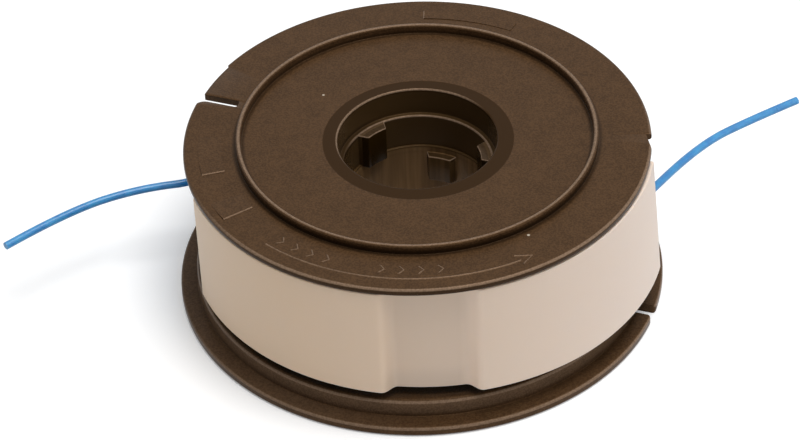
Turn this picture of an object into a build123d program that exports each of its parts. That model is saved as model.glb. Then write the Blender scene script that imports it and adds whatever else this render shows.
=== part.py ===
from build123d import *
import math
import os

os.makedirs("parts", exist_ok=True)

# Trimmer line spool: one moulding with two chambers, a winding of nylon line in each,
# a thin retaining band round the front, and one free tail of line from each winding.
# Sizes are in millimetres and azimuths in degrees, anticlockwise from +X seen from above.
# The spool stands on its lower flange at z = 0, its axis is Z, and its front faces -Y.

# Line
line_diameter = 1.5
line_clearance = 0.1
turns_per_layer = 7
turn_groove = 0.45

# Drum that the line is wound on, and the divider between the chambers
drum_radius = 32.8
drum_wall = 2.0
winding_depth = 6.45
divider_lip = 0.3
divider_thickness = 1.3

# Upper flange, with the low ring on its top face above the drum
spool_height = 32.3
upper_flange_overhang = 3.45
upper_flange_thickness = 1.4
ring_offset = 0.05
ring_width = 1.1
ring_height = 1.8

# Lower flange: a thin rim, a step up, and a plateau that closes the lower chamber
lower_rim_overhang = 2.5
lower_rim_width = 3.2
lower_rim_thickness = 1.95
lower_step_height = 5.6
lower_wall = 2.0

# Bore, with its wider mouth, a small step half way down and two rows of tapered drive lugs
bore_radius = 13.7
mouth_radius = 14.67
mouth_depth = 5.5
bore_step = 0.4
bore_step_depth = 6.9
hub_wall = 1.9
lug_inner_radius = 11.7
lug_tip_span = 21.0
lug_root_span = 28.0
upper_lug_length = 7.3
lower_lug_length = 5.6
lug_rows_apart = 0.9
lugs_per_row = 3
upper_lug_azimuth = 9.2
lug_root = 0.6
lug_corner = 0.3

# Edge roundings of the moulding
rim_edge = 0.55
step_edge = 0.9
inside_corner = 0.4
ceiling_corner = 1.0
mouth_edge = 0.35

# Parking slots, one in each flange and opposite each other
slot_azimuth = 159.3
slot_width = 2.3
slot_length = 7.8
slot_end_corner = 0.5
slot_lip_near = 1.0
slot_lip_far = 2.0
lower_slot_lip = 0.8

# Stretch of the upper rim that is set in beside its slot, and the nick in the rim
set_in_depth = 0.6
set_in_end_azimuth = 145.5
set_in_ramp = 3.4
nick_azimuth = -2.3
nick_depth = 0.75
nick_length = 4.9
nick_back = 0.3

# Retaining band: a strip that flares downwards and stands a little off the spool's axis
band_thickness = 0.8
band_bottom = 7.65
band_top_clearance = 0.25
band_bottom_centre = (1.37, 1.31)
band_bottom_standoff = 4.91
band_top_centre = (0.25, 0.85)
band_top_standoff = 3.88
band_left_azimuth = -162.5
band_bottom_right_azimuth = -13.5
band_top_right_azimuth = -10.2

# Recess in the band's front, whose floor comes close to the divider
recess_azimuth = -88.9
recess_floor_width = 12.0
recess_side_width = 3.3
recess_bottom_standoff = 2.72
recess_top_standoff = 1.97

# Windings: full turns from the chamber's floor up, and the layers that are missing above them
upper_full_turns = 3
upper_missing_layers = 3
lower_full_turns = 6
lower_missing_layers = 1

# Free tails of line: where each one leaves its winding, its first straight run, and the points
# that it then passes, counted from where it leaves
upper_tail_azimuth = -35.2
upper_tail_first_run = 16.5
upper_tail_points = [(21.7, 28.43), (31.24, 34.91), (40.78, 40.43)]
lower_tail_azimuth = 145.0
lower_tail_first_run = 12.6
lower_tail_points = [(-21.46, -12.08), (-34.56, -18.18), (-45.46, -27.48)]
tail_channel_angle = 36.0
tail_corner_share = 0.45

# Heights and radii that follow from the sizes above
winding_radius = drum_radius + winding_depth
turn_radius = winding_radius - line_diameter / 2
layer_step = line_diameter * math.sin(math.radians(60))
divider_radius = winding_radius + divider_lip
upper_flange_radius = divider_radius + upper_flange_overhang
ring_radius = drum_radius + ring_offset
lower_rim_radius = upper_flange_radius + lower_rim_overhang
lower_step_radius = lower_rim_radius - lower_rim_width
upper_underside = spool_height - upper_flange_thickness
plateau_underside = lower_step_height - lower_wall
divider_low = (lower_step_height + upper_underside - divider_thickness) / 2
divider_high = divider_low + divider_thickness
hub_radius = mouth_radius + hub_wall
ledge_height = spool_height - mouth_depth
lower_bore_radius = bore_radius - bore_step
lower_bore_height = ledge_height - bore_step_depth
turn_pitch = (divider_low - lower_step_height - 2 * line_clearance) / turns_per_layer
cut_margin = 2.0


def polar(radius, azimuth):
    """Point at a radius and azimuth about the spool's axis, in plan."""
    angle = math.radians(azimuth)
    return Vector(radius * math.cos(angle), radius * math.sin(angle))


def on_circle(centre, radius, azimuth):
    """Point of an off-axis circle that is seen at an azimuth from the spool's axis."""
    ray = polar(1, azimuth)
    offset = Vector(*centre)
    along = offset.dot(ray)
    return ray * (along + math.sqrt(radius**2 - offset.length**2 + along**2))


def round_of(wanted, wall):
    """Edge rounding that a wall of this thickness has room for."""
    return min(wanted, 0.45 * wall)


def rounded_face(corners):
    """Flat face from (x, y, rounding) corners, each corner rounded to its own radius."""
    face = make_face(Polyline(*[(x, y) for x, y, _ in corners], close=True))
    for x, y, rounding in corners:
        if rounding > 0:
            corner = face.vertices().sort_by_distance((x, y, 0))[0]
            face = fillet(corner, rounding)
    return face


def turned(face, angle=360):
    """Solid swept by a half-section (radius, height) about the spool's axis from azimuth 0."""
    return revolve(Plane.XZ * face, axis=Axis.Z, revolution_arc=angle)


def moulding_body():
    """The moulding before its lugs and cuts: flanges, ring, drum, divider and hub in one turn."""
    rim_top = round_of(rim_edge, upper_flange_thickness)
    rim_low = round_of(rim_edge, lower_rim_thickness)
    divider_edge = round_of(rim_edge, divider_thickness)
    ring_edge = round_of(rim_edge, ring_width)
    drum_inside = drum_radius - drum_wall
    step_inside = lower_step_radius - lower_wall
    ring_out = ring_radius + ring_width / 2
    ring_in = ring_radius - ring_width / 2
    ring_top = spool_height + ring_height
    return turned(
        rounded_face(
            [
                (lower_bore_radius, 0, mouth_edge),
                (hub_radius, 0, mouth_edge),
                (hub_radius, upper_underside, ceiling_corner),
                (drum_inside, upper_underside, ceiling_corner),
                (drum_inside, plateau_underside, inside_corner),
                (step_inside, plateau_underside, inside_corner),
                (step_inside, 0, inside_corner),
                (lower_rim_radius, 0, rim_low),
                (lower_rim_radius, lower_rim_thickness, rim_low),
                (lower_step_radius, lower_rim_thickness, inside_corner),
                (lower_step_radius, lower_step_height, step_edge),
                (drum_radius, lower_step_height, 0),
                (drum_radius, divider_low, 0),
                (divider_radius, divider_low, divider_edge),
                (divider_radius, divider_high, divider_edge),
                (drum_radius, divider_high, 0),
                (drum_radius, upper_underside, 0),
                (upper_flange_radius, upper_underside, rim_top),
                (upper_flange_radius, spool_height, rim_top),
                (ring_out, spool_height, inside_corner),
                (ring_out, ring_top, ring_edge),
                (ring_in, ring_top, ring_edge),
                (ring_in, spool_height, inside_corner),
                (mouth_radius, spool_height, mouth_edge),
                (mouth_radius, ledge_height, 0),
                (bore_radius, ledge_height, 0),
                (bore_radius, lower_bore_height, 0),
                (lower_bore_radius, lower_bore_height, 0),
            ]
        )
    )


def drive_lug(top, length, azimuth):
    """One tapered lug that stands in from the bore wall, with its top at a height."""
    outer = bore_radius + lug_root
    left_tip = polar(lug_inner_radius, lug_tip_span / 2)
    right_tip = polar(lug_inner_radius, -lug_tip_span / 2)
    left_root = polar(outer, lug_root_span / 2)
    right_root = polar(outer, -lug_root_span / 2)
    sides = [
        Line(left_tip, left_root),
        ThreePointArc(left_root, polar(outer, 0), right_root),
        Line(right_root, right_tip),
        ThreePointArc(right_tip, polar(lug_inner_radius, 0), left_tip),
    ]
    face = make_face(sides)
    for tip in (left_tip, right_tip):
        corner = face.vertices().sort_by_distance(tip)[0]
        face = fillet(corner, lug_corner)
    return Rot(0, 0, azimuth) * Pos(0, 0, top - length) * extrude(face, length)


def parking_slot(rim_radius, floor, height, azimuth, lip_left, lip_right):
    """Cutter for a slot that runs in from a rim, with rounded lips at its mouth."""
    start = rim_radius - slot_length
    half = slot_width / 2
    past = rim_radius + cut_margin
    left = half + lip_left + cut_margin
    right = -half - lip_right - cut_margin
    face = rounded_face(
        [
            (start, -half, slot_end_corner),
            (rim_radius, -half, lip_right),
            (rim_radius, right, 0),
            (past, right, 0),
            (past, left, 0),
            (rim_radius, left, 0),
            (rim_radius, half, lip_left),
            (start, half, slot_end_corner),
        ]
    )
    return Rot(0, 0, azimuth) * Pos(0, 0, floor) * extrude(face, height)


def rim_set_in():
    """Cutter for the shallow stretch of the upper rim between its slot and the ramp back out."""
    inner = upper_flange_radius - set_in_depth
    past = upper_flange_radius + cut_margin
    ramp_end = set_in_end_azimuth - set_in_ramp * past / inner
    middle = (slot_azimuth + set_in_end_azimuth) / 2
    sides = [
        ThreePointArc(polar(inner, set_in_end_azimuth), polar(inner, middle), polar(inner, slot_azimuth)),
        Line(polar(inner, slot_azimuth), polar(past, slot_azimuth)),
        ThreePointArc(polar(past, slot_azimuth), polar(past, middle), polar(past, ramp_end)),
        Line(polar(past, ramp_end), polar(inner, set_in_end_azimuth)),
    ]
    height = upper_flange_thickness + 2 * cut_margin
    return Pos(0, 0, upper_underside - cut_margin) * extrude(make_face(sides), height)


def rim_nick():
    """Cutter for the small one-sided nick in the upper rim."""
    inner = upper_flange_radius - nick_depth
    past = upper_flange_radius + cut_margin
    reach = (past - inner) / nick_depth
    face = make_face(
        Polyline((inner, 0), (past, nick_back * reach), (past, -nick_length * reach), close=True)
    )
    height = upper_flange_thickness + 2 * cut_margin
    return Rot(0, 0, nick_azimuth) * Pos(0, 0, upper_underside - cut_margin) * extrude(face, height)


def spool():
    """The whole moulding: turned body, two staggered rows of lugs, slots, set-in and nick."""
    body = moulding_body()
    step = 360 / lugs_per_row
    lower_top = ledge_height - upper_lug_length - lug_rows_apart
    for lug in range(lugs_per_row):
        body += drive_lug(ledge_height, upper_lug_length, upper_lug_azimuth + lug * step)
        body += drive_lug(lower_top, lower_lug_length, upper_lug_azimuth + (lug + 0.5) * step)
    body -= parking_slot(
        upper_flange_radius,
        upper_underside - cut_margin,
        upper_flange_thickness + 2 * cut_margin,
        slot_azimuth,
        slot_lip_far,
        slot_lip_near,
    )
    body -= parking_slot(
        lower_rim_radius,
        -cut_margin,
        lower_step_height + 2 * cut_margin,
        slot_azimuth + 180,
        lower_slot_lip,
        lower_slot_lip,
    )
    body -= rim_set_in()
    body -= rim_nick()
    return body


def turn_height(chamber_floor, turn):
    """Height of the middle of a turn, counted from 0 at the chamber's floor."""
    return chamber_floor + line_clearance + (turn + 0.5) * turn_pitch


def winding(chamber_floor, full_turns, missing_layers, leave_azimuth):
    """One roll of line: ridged turns that fall away above the full ones, and a channel for its tail."""
    inner = drum_radius + line_clearance
    bottom = chamber_floor + line_clearance
    top = bottom + turns_per_layer * turn_pitch
    lines = []
    place = Vector(inner, bottom)
    for turn in range(turns_per_layer):
        missing = min(max(turn - full_turns + 1, 0), missing_layers)
        crest = winding_radius - missing * layer_step
        middle = turn_height(chamber_floor, turn)
        low = Vector(crest - turn_groove, middle - turn_pitch / 2)
        high = Vector(crest - turn_groove, middle + turn_pitch / 2)
        if (low - place).length > line_clearance / 10:
            lines.append(Line(place, low))
        lines.append(ThreePointArc(low, Vector(crest, middle), high))
        place = high
    lines.append(Line(place, Vector(inner, top)))
    lines.append(Line(Vector(inner, top), Vector(inner, bottom)))
    roll = turned(make_face(lines))
    last_turn = turn_height(chamber_floor, full_turns - 1)
    channel_floor = winding_radius - line_diameter - line_clearance
    channel_depth = winding_radius + cut_margin - channel_floor
    mouth = Pos(channel_floor + channel_depth / 2, last_turn) * Rectangle(channel_depth, turn_pitch)
    return roll - Rot(0, 0, leave_azimuth) * turned(mouth, tail_channel_angle)


def line_tail(name, height, leave_azimuth, first_run, points):
    """Free tail of line: straight runs joined by tangent arcs, tangent to its winding at the start."""
    start = polar(turn_radius, leave_azimuth)
    route = [start, start + polar(first_run, leave_azimuth + 90)]
    route += [start + Vector(x, y) for x, y in points]
    radii = []
    for before, corner, after in zip(route, route[1:], route[2:]):
        turn = (corner - before).get_angle(after - corner)
        shorter = min((corner - before).length, (after - corner).length)
        radii.append(tail_corner_share * shorter / math.tan(math.radians(turn / 2)))
    level = [Vector(p.X, p.Y, height) for p in route]
    path = FilletPolyline(*level, radius=radii)
    section = Plane(origin=path @ 0, z_dir=path % 0) * Circle(line_diameter / 2)
    tube = sweep(section, path=path)
    expected = math.pi * line_diameter**2 / 4 * path.length
    print(name, "points", [(round(p.X, 2), round(p.Y, 2), round(p.Z, 2)) for p in level])
    print(name, "radii", [round(r, 1) for r in radii], "length", round(path.length, 2))
    print(name, "volume over section times length", round(tube.volume / expected, 4))
    return tube


def band_section(height, centre, radius, floor_radius, right_azimuth):
    """Plan outline of the band at a height: two arcs with the front recess between them."""
    floor_half = math.degrees(recess_floor_width / 2 / floor_radius)
    side = math.degrees(recess_side_width / floor_radius)
    slope = math.atan2(radius - floor_radius, recess_side_width)
    shift = math.degrees(band_thickness * math.tan(slope / 2) / floor_radius)
    handle = recess_side_width / 2

    def skin(inset, spread):
        """Edges of one face of the strip from left to right, inset from the outer face."""
        arc = radius - inset
        floor = floor_radius - inset
        left_floor = recess_azimuth - floor_half - spread
        right_floor = recess_azimuth + floor_half + spread
        left_mouth = left_floor - side
        right_mouth = right_floor + side
        left_end = on_circle(centre, arc, band_left_azimuth)
        left_middle = on_circle(centre, arc, (band_left_azimuth + left_mouth) / 2)
        left_lip = on_circle(centre, arc, left_mouth)
        right_lip = on_circle(centre, arc, right_mouth)
        right_middle = on_circle(centre, arc, (right_azimuth + right_mouth) / 2)
        right_end = on_circle(centre, arc, right_azimuth)
        floor_start = on_circle(centre, floor, left_floor)
        floor_middle = on_circle(centre, floor, recess_azimuth)
        floor_end = on_circle(centre, floor, right_floor)
        edges = [
            ThreePointArc(left_end, left_middle, left_lip),
            Bezier(
                left_lip,
                left_lip + polar(handle, left_mouth + 90),
                floor_start - polar(handle, left_floor + 90),
                floor_start,
            ),
            ThreePointArc(floor_start, floor_middle, floor_end),
            Bezier(
                floor_end,
                floor_end + polar(handle, right_floor + 90),
                right_lip - polar(handle, right_mouth + 90),
                right_lip,
            ),
            ThreePointArc(right_lip, right_middle, right_end),
        ]
        return edges, left_end, right_end

    outer, outer_left, outer_right = skin(0.0, 0.0)
    inner, inner_left, inner_right = skin(band_thickness, shift)
    rims = [Line(outer_right, inner_right), Line(inner_left, outer_left)]
    return Pos(0, 0, height) * make_face(outer + inner + rims)


def retaining_band():
    """The thin strip, flared from just under the upper flange to its free lower edge."""
    band_top = upper_underside - band_top_clearance
    sections = [
        band_section(
            band_bottom,
            band_bottom_centre,
            divider_radius + band_bottom_standoff,
            divider_radius + recess_bottom_standoff,
            band_bottom_right_azimuth,
        ),
        band_section(
            band_top,
            band_top_centre,
            divider_radius + band_top_standoff,
            divider_radius + recess_top_standoff,
            band_top_right_azimuth,
        ),
    ]
    return loft(sections, ruled=True)


nodes = {
    "spool": spool(),
    "upper_winding": winding(
        divider_high,
        upper_full_turns,
        upper_missing_layers,
        upper_tail_azimuth,
    ),
    "lower_winding": winding(
        lower_step_height,
        lower_full_turns,
        lower_missing_layers,
        lower_tail_azimuth,
    ),
    "upper_line_tail": line_tail(
        "upper_line_tail",
        turn_height(divider_high, upper_full_turns - 1),
        upper_tail_azimuth,
        upper_tail_first_run,
        upper_tail_points,
    ),
    "lower_line_tail": line_tail(
        "lower_line_tail",
        turn_height(lower_step_height, lower_full_turns - 1),
        lower_tail_azimuth,
        lower_tail_first_run,
        lower_tail_points,
    ),
    "retaining_band": retaining_band(),
}

for node, shape in nodes.items():
    export_step(shape, f"parts/{node}.step")
    print(node, "solids", len(shape.solids()), "volume", round(shape.volume, 1))
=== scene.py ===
"""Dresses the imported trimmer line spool: moulding, windings, line tails, band, stage and camera.

Lengths in the dataclasses are millimetres and azimuths are degrees, anticlockwise from +X seen
from above, as in the part's source. Meshes are built in the row frame, in metres.
"""

import logging
import math
from collections.abc import Iterable, Sequence
from dataclasses import dataclass, field
from enum import Enum
from functools import cached_property
from itertools import groupby
from typing import Any

import bmesh
import bpy
from mathutils import Matrix, Vector

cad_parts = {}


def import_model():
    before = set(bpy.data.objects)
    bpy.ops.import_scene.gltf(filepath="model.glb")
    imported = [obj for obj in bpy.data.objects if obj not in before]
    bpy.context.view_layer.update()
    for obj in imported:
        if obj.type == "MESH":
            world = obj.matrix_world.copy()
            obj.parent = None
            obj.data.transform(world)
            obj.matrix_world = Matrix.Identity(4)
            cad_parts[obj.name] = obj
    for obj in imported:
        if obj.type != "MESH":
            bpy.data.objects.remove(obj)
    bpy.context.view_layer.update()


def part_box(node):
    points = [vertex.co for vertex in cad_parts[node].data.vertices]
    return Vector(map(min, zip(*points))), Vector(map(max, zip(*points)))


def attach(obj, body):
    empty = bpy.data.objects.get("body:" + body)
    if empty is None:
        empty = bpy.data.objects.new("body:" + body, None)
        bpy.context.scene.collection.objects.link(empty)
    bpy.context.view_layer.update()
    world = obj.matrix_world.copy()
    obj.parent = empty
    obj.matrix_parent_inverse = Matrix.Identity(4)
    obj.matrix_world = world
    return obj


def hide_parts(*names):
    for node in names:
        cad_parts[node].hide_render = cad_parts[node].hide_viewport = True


MM = 0.001
ROOT = "root"
PAINTED_HIGHLIGHT = "painted_highlights"
LOG = logging.getLogger("spool_scene")

Colour = tuple[float, float, float]
Corner = tuple[float, float, float]
Span = tuple[float, float]
Ring = list[Vector]


class Slot(Enum):
    """Material slots of the record."""

    MOULDING = "moulding"
    LINE = "line"
    BAND = "band"


class Crease(Enum):
    """Angles in degrees past which an edge stays sharp."""

    MOULDED = 34.0
    SMOOTH = 50.0


def polar(radius: float, azimuth: float, height: float = 0.0) -> Vector:
    """Point at a radius and azimuth about the spool's axis, in millimetres."""
    angle = math.radians(azimuth)
    return Vector((radius * math.cos(angle), radius * math.sin(angle), height))


def spaced(start: float, end: float, steps: int) -> list[float]:
    """Even values from start to end, both included."""
    return [start + (end - start) * step / steps for step in range(steps + 1)]


def rounded(corners: Sequence[Corner], steps: int = 6) -> Ring:
    """Closed outline in which each corner is an arc.

    Args:
        corners: (x, y, rounding) in order round the outline.
        steps: straight pieces in each arc.

    Returns:
        Points of the rounded outline.
    """
    points = []
    for index, (x, y, rounding) in enumerate(corners):
        here = Vector((x, y))
        if rounding == 0:
            points.append(here)
            continue
        back = (Vector(corners[index - 1][:2]) - here).normalized()
        ahead = (Vector(corners[(index + 1) % len(corners)][:2]) - here).normalized()
        half = back.angle(ahead) / 2
        centre = here + (back + ahead).normalized() * rounding / math.sin(half)
        start = here + back * rounding / math.tan(half) - centre
        end = here + ahead * rounding / math.tan(half) - centre
        for share in spaced(0, 1, steps):
            points.append(centre + start.slerp(end, share) * rounding)
    return points


def supported(points: Ring, near: float = 0.1, longest: float = 0.8) -> Ring:
    """Outline with points close to both ends of its long straights, so that flats shade flat.

    Args:
        points: closed outline.
        near: how far from an end its supporting point stands.
        longest: straights up to this length are left alone.

    Returns:
        The outline with the points added.
    """
    result = []
    for here, after in zip(points, [*points[1:], points[0]]):
        result.append(here)
        run = after - here
        if run.length > longest:
            result.append(here + run.normalized() * near)
            result.append(after - run.normalized() * near)
    return result


def placed(name: str, data: bpy.types.ID) -> bpy.types.Object:
    """Makes an object and links it to the scene.

    Args:
        name: object's name.
        data: its mesh, curve, camera or lamp.

    Returns:
        The object.
    """
    result = bpy.data.objects.new(name, data)
    bpy.context.scene.collection.objects.link(result)
    return result


def mesh_object(name: str, vertices: Iterable[Vector], faces: Iterable[Sequence[int]]) -> bpy.types.Object:
    """New object from millimetre vertices, with its faces turned outwards.

    Args:
        name: object's name.
        vertices: places in millimetres.
        faces: vertex numbers of each face.

    Returns:
        The object, linked to the scene.
    """
    mesh = bpy.data.meshes.new(name)
    mesh.from_pydata([vertex * MM for vertex in vertices], [], list(faces))
    shell = bmesh.new()
    shell.from_mesh(mesh)
    bmesh.ops.recalc_face_normals(shell, faces=shell.faces)
    shell.to_mesh(mesh)
    shell.free()
    return placed(name, mesh)


def loft(name: str, rings: Sequence[Ring], closed: bool = False) -> bpy.types.Object:
    """Skin over a row of rings with the same number of points.

    Args:
        name: object's name.
        rings: rings of places in millimetres.
        closed: whether the last ring joins the first; otherwise both ends are capped.

    Returns:
        The closed solid.
    """
    count = len(rings[0])
    spans = len(rings) if closed else len(rings) - 1
    faces = [] if closed else [[*range(count)], [*range(spans * count, (spans + 1) * count)]]
    for span in range(spans):
        here, after = span * count, (span + 1) % len(rings) * count
        for index in range(count):
            ahead = (index + 1) % count
            faces.append([here + index, here + ahead, after + ahead, after + index])
    return mesh_object(name, [point for ring in rings for point in ring], faces)


def turned(name: str, outline: Ring, segments: int) -> bpy.types.Object:
    """Solid turned about the spool's axis from a closed (radius, height) outline."""
    rings = [[polar(p.x, 360 * turn / segments, p.y) for p in outline] for turn in range(segments)]
    return loft(name, rings, closed=True)


def grown(outline: Ring, reach: float) -> Ring:
    """Plan outline moved outwards, or inwards by a negative reach, with mitred corners.

    Args:
        outline: plan outline in millimetres.
        reach: how far every side moves.

    Returns:
        The moved outline, point for point.
    """
    flat = [point.to_2d() for point in outline]
    pairs = [*zip(flat, [*flat[1:], flat[0]])]
    area = sum(here.cross(after) for here, after in pairs)
    sides = []
    for here, after in pairs:
        along = (after - here).normalized() * math.copysign(1, area)
        sides.append(Vector((along.y, -along.x)))
    result = []
    for index, here in enumerate(flat):
        first, second = sides[index - 1], sides[index]
        result.append(here + (first + second) * reach / (1 + first.dot(second)))
    return result


def prism(name: str, *levels: tuple[Ring, float]) -> bpy.types.Object:
    """Upright solid through plan outlines, alike point for point, at rising heights."""
    return loft(name, [[Vector((p.x, p.y, height)) for p in outline] for outline, height in levels])


def settle(target: bpy.types.Object) -> bpy.types.Object:
    """Turns an object's modifiers into plain mesh.

    Args:
        target: object with live modifiers.

    Returns:
        The same object with the evaluated mesh and no modifiers.
    """
    bpy.context.view_layer.update()
    graph = bpy.context.evaluated_depsgraph_get()
    mesh = bpy.data.meshes.new_from_object(target.evaluated_get(graph), depsgraph=graph)
    target.modifiers.clear()
    target.data = mesh
    return target


def join(name: str, pieces: Sequence[bpy.types.Object]) -> bpy.types.Object:
    """Joins objects into the first one's mesh and removes the others.

    Args:
        name: name of the joined object.
        pieces: objects at the origin.

    Returns:
        The joined object.
    """
    shell = bmesh.new()
    for piece in pieces:
        shell.from_mesh(piece.data)
    mesh = bpy.data.meshes.new(name)
    shell.to_mesh(mesh)
    shell.free()
    for piece in pieces[1:]:
        bpy.data.objects.remove(piece)
    pieces[0].data = mesh
    pieces[0].name = name
    return pieces[0]


def paint_highlight(target: bpy.types.Object, vertices: Iterable[int], amount: float = 1.0) -> bpy.types.Object:
    """Marks the vertices of a mesh that get a painted highlight, a paler colour standing in for light.

    Args:
        target: mesh object.
        vertices: numbers of the highlighted vertices.
        amount: how strong their painted highlight is.

    Returns:
        The object.
    """
    attributes = target.data.attributes
    share = attributes.get(PAINTED_HIGHLIGHT) or attributes.new(PAINTED_HIGHLIGHT, "FLOAT", "POINT")
    for index in vertices:
        share.data[index].value = amount
    return target


def dress(target: bpy.types.Object, material: bpy.types.Material, crease: Crease) -> None:
    """Shades a mesh smooth up to a crease angle, gives it its finish and rides it on the body.

    Args:
        target: finished mesh object.
        material: its finish.
        crease: which edges stay sharp.
    """
    target.data.materials.clear()
    target.data.materials.append(material)
    target.data.shade_smooth()
    target.data.set_sharp_from_angle(angle=math.radians(crease.value))
    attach(target, ROOT)


class TreeBuilder:
    """Node tree under construction."""

    def __init__(self, tree: bpy.types.NodeTree) -> None:
        """Starts work on a tree."""
        self.tree = tree

    def node(self, kind: str, inputs: dict[Any, Any] | None = None, **settings: Any) -> bpy.types.Node:
        """Adds a node.

        Args:
            kind: node type.
            inputs: values, colours or sockets by input name or number.
            settings: properties of the node, set first.

        Returns:
            The node.
        """
        result = self.tree.nodes.new(kind)
        for name, setting in settings.items():
            setattr(result, name, setting)
        for key, given in (inputs or {}).items():
            source = given.socket if isinstance(given, Value) else given
            if isinstance(source, bpy.types.NodeSocket):
                self.tree.links.new(source, result.inputs[key])
            else:
                result.inputs[key].default_value = source
        return result


class Value:
    """Shader socket that takes part in Python arithmetic by adding Math nodes."""

    def __init__(self, tree: "ShaderTree", socket: bpy.types.NodeSocket) -> None:
        """Holds an output socket of a tree."""
        self.tree = tree
        self.socket = socket

    def _math(self, operation: str, first: Any, second: Any = 0.0) -> "Value":
        """Math node on two values."""
        return self.tree.value("ShaderNodeMath", {0: first, 1: second}, operation=operation)

    def __add__(self, other: Any) -> "Value":
        """Sum."""
        return self._math("ADD", self, other)

    def __radd__(self, other: Any) -> "Value":
        """Sum with the socket on the right."""
        return self._math("ADD", other, self)

    def __sub__(self, other: Any) -> "Value":
        """Difference."""
        return self._math("SUBTRACT", self, other)

    def __rsub__(self, other: Any) -> "Value":
        """Difference with the socket on the right."""
        return self._math("SUBTRACT", other, self)

    def __mul__(self, other: Any) -> "Value":
        """Product."""
        return self._math("MULTIPLY", self, other)

    def __rmul__(self, other: Any) -> "Value":
        """Product with the socket on the right."""
        return self._math("MULTIPLY", other, self)

    def root(self) -> "Value":
        """Square root."""
        return self._math("SQRT", self)

    def larger(self, other: Any) -> "Value":
        """The larger of two values."""
        return self._math("MAXIMUM", self, other)

    def rises(self, low: float, high: float) -> "Value":
        """Smooth step from 0 at low to 1 at high, or falling if high is below low.

        Args:
            low: value that gives 0.
            high: value that gives 1.

        Returns:
            The step.
        """
        limits = {"From Min": low, "From Max": high, "To Min": 0.0, "To Max": 1.0}
        if high < low:
            limits = {"From Min": high, "From Max": low, "To Min": 1.0, "To Max": 0.0}
        settings = {"interpolation_type": "SMOOTHSTEP", "clamp": True}
        return self.tree.value("ShaderNodeMapRange", {"Value": self, **limits}, **settings)

    def step_at(self, middle: float, span: Span) -> "Value":
        """Smooth step of a length in metres, over a span of millimetres about a middle."""
        return self.rises((middle + span[0]) * MM, (middle + span[1]) * MM)

    def between(self, ends: Span, left: Span, right: Span) -> "Value":
        """Smooth step over a span about the first end, times one about the second."""
        return self.step_at(ends[0], left) * self.step_at(ends[1], right)


def length_of(first: Value, *others: Value) -> Value:
    """Length of a vector.

    Args:
        first: its first part.
        others: its other parts.

    Returns:
        The length.
    """
    square = first * first
    for part in others:
        square = square + part * part
    return square.root()


@dataclass(frozen=True)
class Place:
    """Object coordinates in metres, as one vector and in parts."""

    vector: Value
    x: Value
    y: Value
    z: Value

    @cached_property
    def radius(self) -> Value:
        """Distance from the spool's axis."""
        return length_of(self.x, self.y)


class ShaderTree(TreeBuilder):
    """Node tree of a material or a world under construction."""

    def __init__(self, owner: bpy.types.Material | bpy.types.World) -> None:
        """Starts with an empty tree.

        Args:
            owner: material or world that the tree belongs to.
        """
        owner.use_nodes = True
        super().__init__(owner.node_tree)
        self.owner = owner
        self.tree.nodes.clear()

    def value(self, kind: str, inputs: dict[Any, Any], output: Any = 0, **settings: Any) -> Value:
        """Adds a node, as the method of that name does, and wraps one of its outputs."""
        return Value(self, self.node(kind, inputs, **settings).outputs[output])

    def place(self) -> Place:
        """Object coordinates.

        Returns:
            The vector and its parts.
        """
        vector = self.value("ShaderNodeTexCoord", {}, "Object")
        parts = self.node("ShaderNodeSeparateXYZ", {0: vector}).outputs
        return Place(vector, *(Value(self, part) for part in parts))

    def stretched(self, vector: Value, scale: Colour) -> Value:
        """Vector multiplied by a scale along each axis."""
        return self.value("ShaderNodeVectorMath", {0: vector, 1: scale}, operation="MULTIPLY")

    def noise(self, vector: Value, size: float, detail: float, rough: float = 0.5) -> Value:
        """Noise about 0.5 whose features are near a size in millimetres, with octaves of detail."""
        inputs = {"Vector": vector, "Scale": 1 / (size * MM), "Detail": detail, "Roughness": rough}
        return self.value("ShaderNodeTexNoise", inputs, "Fac")

    def blend(self, factor: Any, first: Any, second: Any) -> Value:
        """Colour between two colours.

        Args:
            factor: 0 for the first, 1 for the second.
            first: colour or socket.
            second: colour or socket.

        Returns:
            The blended colour.
        """
        colours = [(*c, 1.0) if isinstance(c, tuple) else c for c in (first, second)]
        inputs = {0: factor, 6: colours[0], 7: colours[1]}
        return self.value("ShaderNodeMix", inputs, 2, data_type="RGBA")

    def bump(self, height: Value, distance: float, strength: float) -> Value:
        """Normal from a height between 0 and 1 over a distance in metres."""
        return self.value("ShaderNodeBump", {"Height": height, "Distance": distance, "Strength": strength})

    def own(self, name: str) -> Value:
        """Attribute of the mesh itself, 0 where it has none."""
        return self.value("ShaderNodeAttribute", {}, "Fac", attribute_name=name)

    def seen(self) -> Value:
        """Tells the rays that show a surface to the camera, straight, mirrored or through glass.

        Returns:
            1 for such rays, else 0.
        """
        path = self.node("ShaderNodeLightPath").outputs
        straight = Value(self, path["Is Camera Ray"])
        return straight.larger(path["Is Glossy Ray"]).larger(path["Is Transmission Ray"])

    def finish(self, inputs: dict[str, Any]) -> bpy.types.Material:
        """Ends a material's tree in a Principled shader.

        Args:
            inputs: values or sockets of the shader.

        Returns:
            The material.
        """
        shader = self.node("ShaderNodeBsdfPrincipled", inputs)
        self.node("ShaderNodeOutputMaterial", {0: shader.outputs[0]})
        return self.owner


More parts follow.
